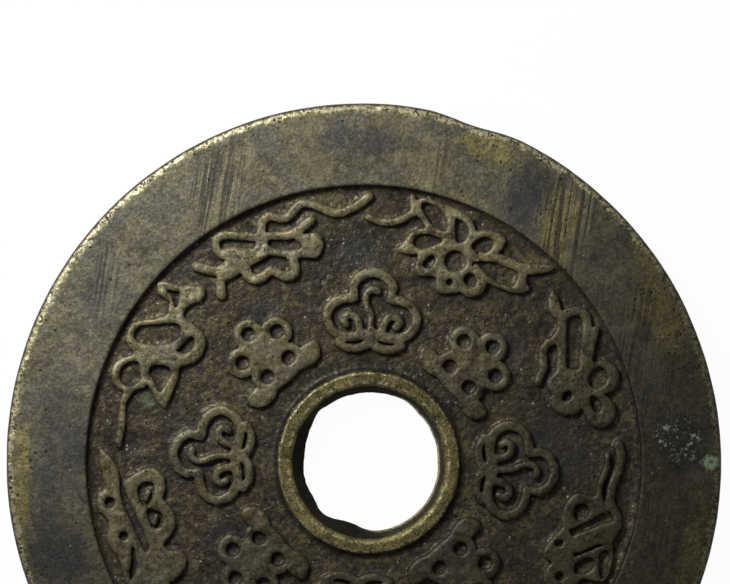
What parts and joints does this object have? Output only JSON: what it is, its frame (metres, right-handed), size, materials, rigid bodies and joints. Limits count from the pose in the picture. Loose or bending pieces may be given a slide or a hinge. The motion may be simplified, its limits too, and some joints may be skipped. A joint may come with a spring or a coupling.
{
  "type": "charm coin",
  "caption": "Large round cast brass charm coin: a broad plain rim, a sunken field with a ring of ribbon-tied emblems, and a raised collar round the hole it hangs by.",
  "frame": {"origin": "middle of the coin's outline, on the plane of the back of its rim, which it lies on", "axes": "+Z out of the figured face, +Y towards the top of the design as it hangs, +X to the right of it"},
  "size_m": [0.0598, 0.0602, 0.0032],
  "materials": {
    "rubbed_rim": "rubbed and file-marked brass under a grey-brown patina, with brighter pitted edges",
    "dark_field": "dark brown sunken patina with casting grain and small pale and green deposits",
    "handled_collar": "handled brass, rubbed bright on the edge, with a trace of green",
    "worn_relief": "olive brass rubbed bright on the tops of the strokes, dark at their feet"
  },
  "bodies": {
    "root": {"outer_rim": "rubbed_rim", "field_web": "dark_field", "hole_collar": "handled_collar", "emblem_ribbon_scroll": "worn_relief", "emblem_lotus": "worn_relief", "emblem_gourd": "worn_relief", "emblem_clappers": "worn_relief", "emblem_double_lozenge": "worn_relief", "emblem_endless_knot": "worn_relief", "emblem_twin_fish": "worn_relief", "emblem_ribbon_loops": "worn_relief", "cloud_scroll_1": "worn_relief", "cloud_scroll_2": "worn_relief", "cloud_scroll_3": "worn_relief", "cloud_scroll_4": "worn_relief", "plum_blossom_1": "worn_relief", "plum_blossom_2": "worn_relief", "plum_blossom_3": "worn_relief", "plum_blossom_4": "worn_relief"}
  },
  "joints": []
}
